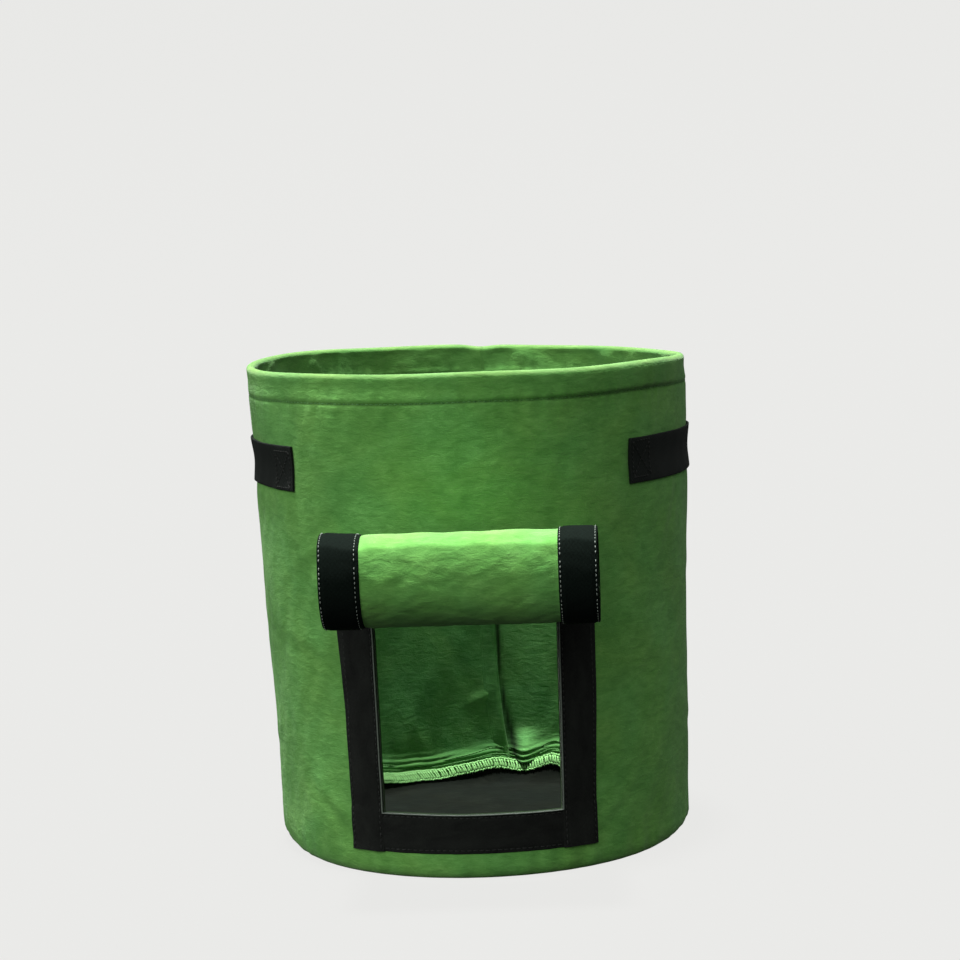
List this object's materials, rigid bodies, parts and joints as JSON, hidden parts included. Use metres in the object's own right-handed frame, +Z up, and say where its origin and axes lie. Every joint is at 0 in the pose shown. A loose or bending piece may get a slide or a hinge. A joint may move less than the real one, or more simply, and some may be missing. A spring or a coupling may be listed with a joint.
{
  "type": "fabric grow bag",
  "caption": "Round felt planting bag with a turned hem, two side webbing handles and a taped harvest window under a roll-up flap.",
  "frame": {"origin": "middle of the bag's underside, on the floor", "axes": "+Z up, the window and its flap face -Y, +X to the right seen from the front"},
  "size_m": [0.3016, 0.3671, 0.33],
  "materials": {
    "green_felt": "matte non-woven felt",
    "black_felt": "matte non-woven felt",
    "webbing": "woven webbing",
    "loop_tape": "soft loop tape",
    "hook_tape": "hook tape",
    "green_thread": "sewing thread",
    "overlock_thread": "overlock thread",
    "black_thread": "sewing thread",
    "pale_thread": "sewing thread"
  },
  "bodies": {
    "root": {"wall_panel": "green_felt", "base_panel": "black_felt", "rim_hem": "green_felt", "rim_hem_stitching": "green_thread", "back_seam_allowance": "green_felt", "back_seam_stitching": "green_thread", "base_seam_allowance": "green_felt", "base_seam_overlock": "overlock_thread", "handle_left_front_end": "webbing", "handle_left_rear_end": "webbing", "handle_right_front_end": "webbing", "handle_right_rear_end": "webbing", "handle_left_stitching": "black_thread", "handle_right_stitching": "black_thread", "window_tape_left": "loop_tape", "window_tape_right": "loop_tape", "window_tape_bottom": "loop_tape", "window_tape_stitching": "black_thread", "window_edge_thread": "pale_thread", "flap_strip": "green_felt", "flap_strip_stitching": "green_thread"},
    "handle_left": {"handle_left_loop": "webbing"},
    "handle_right": {"handle_right_loop": "webbing"},
    "flap_1": {"flap_panel_1": "green_felt", "flap_hook_tapes_1": "hook_tape", "flap_edge_threads_1": "pale_thread"},
    "flap_2": {"flap_panel_2": "green_felt", "flap_hook_tapes_2": "hook_tape", "flap_edge_threads_2": "pale_thread"},
    "flap_3": {"flap_panel_3": "green_felt", "flap_hook_tapes_3": "hook_tape", "flap_edge_threads_3": "pale_thread"},
    "flap_4": {"flap_panel_4": "green_felt", "flap_hook_tapes_4": "hook_tape", "flap_edge_threads_4": "pale_thread"},
    "flap_5": {"flap_panel_5": "green_felt", "flap_hook_tapes_5": "hook_tape", "flap_edge_threads_5": "pale_thread"},
    "flap_6": {"flap_panel_6": "green_felt", "flap_hook_tapes_6": "hook_tape", "flap_edge_threads_6": "pale_thread"},
    "flap_7": {"flap_panel_7": "green_felt", "flap_hook_tapes_7": "hook_tape", "flap_edge_threads_7": "pale_thread"},
    "flap_8": {"flap_panel_8": "green_felt", "flap_hook_tapes_8": "hook_tape", "flap_edge_threads_8": "pale_thread", "flap_hook_tape_bottom": "hook_tape"}
  },
  "joints": [
    {"name": "flap_unroll", "type": "hinge", "parent": "root", "child": "flap_1", "pos_m": [0, -0.15235, 0.205], "axis": [1, 0, 0], "range_deg": [0, 23]},
    {"name": "flap_fold_2", "type": "hinge", "parent": "flap_1", "child": "flap_2", "pos_m": [0, -0.16117, 0.18268], "axis": [1, 0, 0], "range_deg": [0, 45]},
    {"name": "flap_fold_3", "type": "hinge", "parent": "flap_2", "child": "flap_3", "pos_m": [0, -0.18319, 0.17313], "axis": [1, 0, 0], "range_deg": [0, 46.2]},
    {"name": "flap_fold_4", "type": "hinge", "parent": "flap_3", "child": "flap_4", "pos_m": [0, -0.20533, 0.18242], "axis": [1, 0, 0], "range_deg": [0, 47.4]},
    {"name": "flap_fold_5", "type": "hinge", "parent": "flap_4", "child": "flap_5", "pos_m": [0, -0.21347, 0.20499], "axis": [1, 0, 0], "range_deg": [0, 48.6]},
    {"name": "flap_fold_6", "type": "hinge", "parent": "flap_5", "child": "flap_6", "pos_m": [0, -0.20192, 0.22603], "axis": [1, 0, 0], "range_deg": [0, 49.8]},
    {"name": "flap_fold_7", "type": "hinge", "parent": "flap_6", "child": "flap_7", "pos_m": [0, -0.1784, 0.23079], "axis": [1, 0, 0], "range_deg": [0, 51]},
    {"name": "flap_fold_8", "type": "hinge", "parent": "flap_7", "child": "flap_8", "pos_m": [0, -0.1599, 0.21551], "axis": [1, 0, 0], "range_deg": [0, 58]},
    {"name": "handle_left_pull", "type": "slide", "parent": "root", "child": "handle_left", "axis": [-1, 0, 0], "range_m": [0, 0.018]},
    {"name": "handle_right_pull", "type": "slide", "parent": "root", "child": "handle_right", "axis": [1, 0, 0], "range_m": [0, 0.018]}
  ],
  "couplings": [
    {"joint": "flap_fold_2", "follows": "flap_unroll", "ratio": 1.9565},
    {"joint": "flap_fold_3", "follows": "flap_unroll", "ratio": 2.0086},
    {"joint": "flap_fold_4", "follows": "flap_unroll", "ratio": 2.0608},
    {"joint": "flap_fold_5", "follows": "flap_unroll", "ratio": 2.113},
    {"joint": "flap_fold_6", "follows": "flap_unroll", "ratio": 2.1652},
    {"joint": "flap_fold_7", "follows": "flap_unroll", "ratio": 2.2173},
    {"joint": "flap_fold_8", "follows": "flap_unroll", "ratio": 2.5217}
  ]
}
